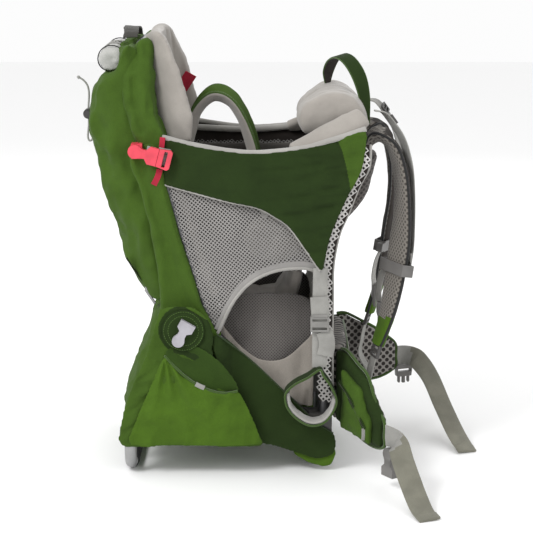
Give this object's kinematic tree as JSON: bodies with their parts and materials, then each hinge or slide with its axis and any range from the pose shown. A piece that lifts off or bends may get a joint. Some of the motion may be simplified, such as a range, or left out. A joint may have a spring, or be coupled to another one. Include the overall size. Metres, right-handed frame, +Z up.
{
  "type": "baby carrier backpack",
  "caption": "Framed child carrier backpack with fold-out kickstand, padded cockpit and seat, storage bags, shoulder harness, hip belt and foot stirrups.",
  "frame": {"origin": "middle of the underside of the front frame's foot, on the floor", "axes": "+X towards the wearer, +Y to the far side (the left side as worn), +Z up"},
  "size_m": [0.6116, 0.532, 0.6708],
  "materials": {
    "bare_tube": "satin anodised tube",
    "grey_tube": "satin tube",
    "rubber": "dull moulded rubber",
    "dark_plastic": "matte moulded nylon",
    "pale_plastic": "satin moulded acetal",
    "red_plastic": "glossy moulded acetal",
    "green_fabric": "plain weave pack cloth",
    "dark_green_fabric": "plain weave pack cloth",
    "bright_green_fabric": "stretch cloth",
    "grey_fabric": "brushed tricot over foam",
    "mesh_fabric": "knitted spacer mesh",
    "dark_fabric": "plain lining cloth",
    "webbing": "woven webbing",
    "zip_metal": "coated zinc"
  },
  "bodies": {
    "pack": {"front_frame": "bare_tube", "seat_frame": "bare_tube", "cockpit_rails": "bare_tube", "frame_clamps": "dark_plastic", "hinge_brackets": "dark_plastic", "hinge_pins": "bare_tube", "base_guard": "dark_green_fabric", "rear_bag": "green_fabric", "lower_bag": "green_fabric", "side_pockets": "bright_green_fabric", "side_bands": "dark_green_fabric", "hinge_patches": "dark_green_fabric", "patch_buckles": "pale_plastic", "mesh_windows": "mesh_fabric", "side_wing_right": "dark_green_fabric", "side_wing_left": "dark_green_fabric", "seat_back": "grey_fabric", "headrest": "grey_fabric", "drool_pad": "grey_fabric", "front_wall": "dark_fabric", "back_panel": "mesh_fabric", "lumbar_pad": "grey_fabric", "sunshade_roll": "grey_fabric", "rear_handle": "dark_fabric", "buckle_socket_right": "red_plastic", "buckle_socket_left": "red_plastic", "rear_cord": "webbing", "cord_lock_barrel": "dark_plastic", "child_strap_right": "bright_green_fabric", "child_strap_left": "bright_green_fabric", "chest_buckle": "dark_plastic"},
    "kickstand": {"kickstand_tube": "grey_tube", "kickstand_foot": "rubber"},
    "child_seat": {"seat_saddle": "grey_fabric", "seat_sling": "grey_fabric"},
    "harness": {"harness_yoke": "dark_plastic", "shoulder_strap_right": "grey_fabric", "shoulder_strap_left": "grey_fabric", "load_lifter_right": "webbing", "load_lifter_left": "webbing", "harness_locks": "dark_plastic", "adjuster_webbing_right": "webbing", "adjuster_webbing_left": "webbing"},
    "sternum_right": {"sternum_slider_right": "dark_plastic"},
    "sternum_left": {"sternum_slider_left": "dark_plastic"},
    "hip_right": {"hip_wing_right": "green_fabric", "hip_pocket_right": "bright_green_fabric", "hip_webbing_right": "webbing", "hip_buckle_socket": "dark_plastic"},
    "hip_left": {"hip_wing_left": "green_fabric", "hip_pocket_left": "bright_green_fabric", "hip_webbing_left": "webbing", "hip_buckle_plug": "dark_plastic"},
    "stirrup_right": {"stirrup_right": "webbing"},
    "stirrup_left": {"stirrup_left": "webbing"},
    "plug_right": {"buckle_plug_right": "red_plastic"},
    "plug_left": {"buckle_plug_left": "red_plastic"},
    "handle": {"front_handle": "bright_green_fabric"},
    "lock_button": {"cord_lock_button": "dark_plastic"},
    "zip": {"rear_zip_slider": "zip_metal"}
  },
  "joints": [
    {"name": "kickstand_fold", "type": "hinge", "parent": "pack", "child": "kickstand", "pos_m": [-0.21, 0, 0.228], "axis": [0, -1, 0], "range_deg": [0, 50]},
    {"name": "seat_height", "type": "slide", "parent": "pack", "child": "child_seat", "axis": [-0.291, 0, 0.9567], "range_m": [0, 0.03]},
    {"name": "torso_length", "type": "slide", "parent": "pack", "child": "harness", "axis": [0.2577, 0, 0.9662], "range_m": [-0.022, 0]},
    {"name": "sternum_height_right", "type": "slide", "parent": "harness", "child": "sternum_right", "axis": [0.148, 0.0658, 0.9868], "range_m": [-0.018, 0.018]},
    {"name": "sternum_height_left", "type": "slide", "parent": "harness", "child": "sternum_left", "axis": [0.148, -0.0658, 0.9868], "range_m": [-0.018, 0.018]},
    {"name": "hip_swing_right", "type": "hinge", "parent": "pack", "child": "hip_right", "pos_m": [0.0233, -0.11, 0.13], "axis": [0, 0, 1], "range_deg": [0, 36]},
    {"name": "hip_swing_left", "type": "hinge", "parent": "pack", "child": "hip_left", "pos_m": [0.0233, 0.11, 0.13], "axis": [0, 0, 1], "range_deg": [0, 36]},
    {"name": "stirrup_swing_right", "type": "hinge", "parent": "pack", "child": "stirrup_right", "pos_m": [-0.008, -0.1483, 0.2875], "axis": [0, 1, 0], "range_deg": [0, 22]},
    {"name": "stirrup_swing_left", "type": "hinge", "parent": "pack", "child": "stirrup_left", "pos_m": [-0.008, 0.1483, 0.2875], "axis": [0, 1, 0], "range_deg": [0, 22]},
    {"name": "side_buckle_right", "type": "slide", "parent": "pack", "child": "plug_right", "axis": [0.9659, 0, -0.2588], "range_m": [0, 0.03]},
    {"name": "side_buckle_left", "type": "slide", "parent": "pack", "child": "plug_left", "axis": [0.9659, 0, -0.2588], "range_m": [0, 0.03]},
    {"name": "handle_tip", "type": "hinge", "parent": "pack", "child": "handle", "pos_m": [0.008, 0.042, 0.5736], "axis": [0.4965, -0.7317, -0.4669], "range_deg": [-25, 0]},
    {"name": "cord_lock_press", "type": "slide", "parent": "pack", "child": "lock_button", "axis": [0, 1, 0], "range_m": [0, 0.0035], "stiffness_N_per_m": 300, "springref_m": -0.001},
    {"name": "rear_zip", "type": "slide", "parent": "pack", "child": "zip", "axis": [-0.5547, 0, 0.8321], "range_m": [-0.008, 0.04]}
  ]
}
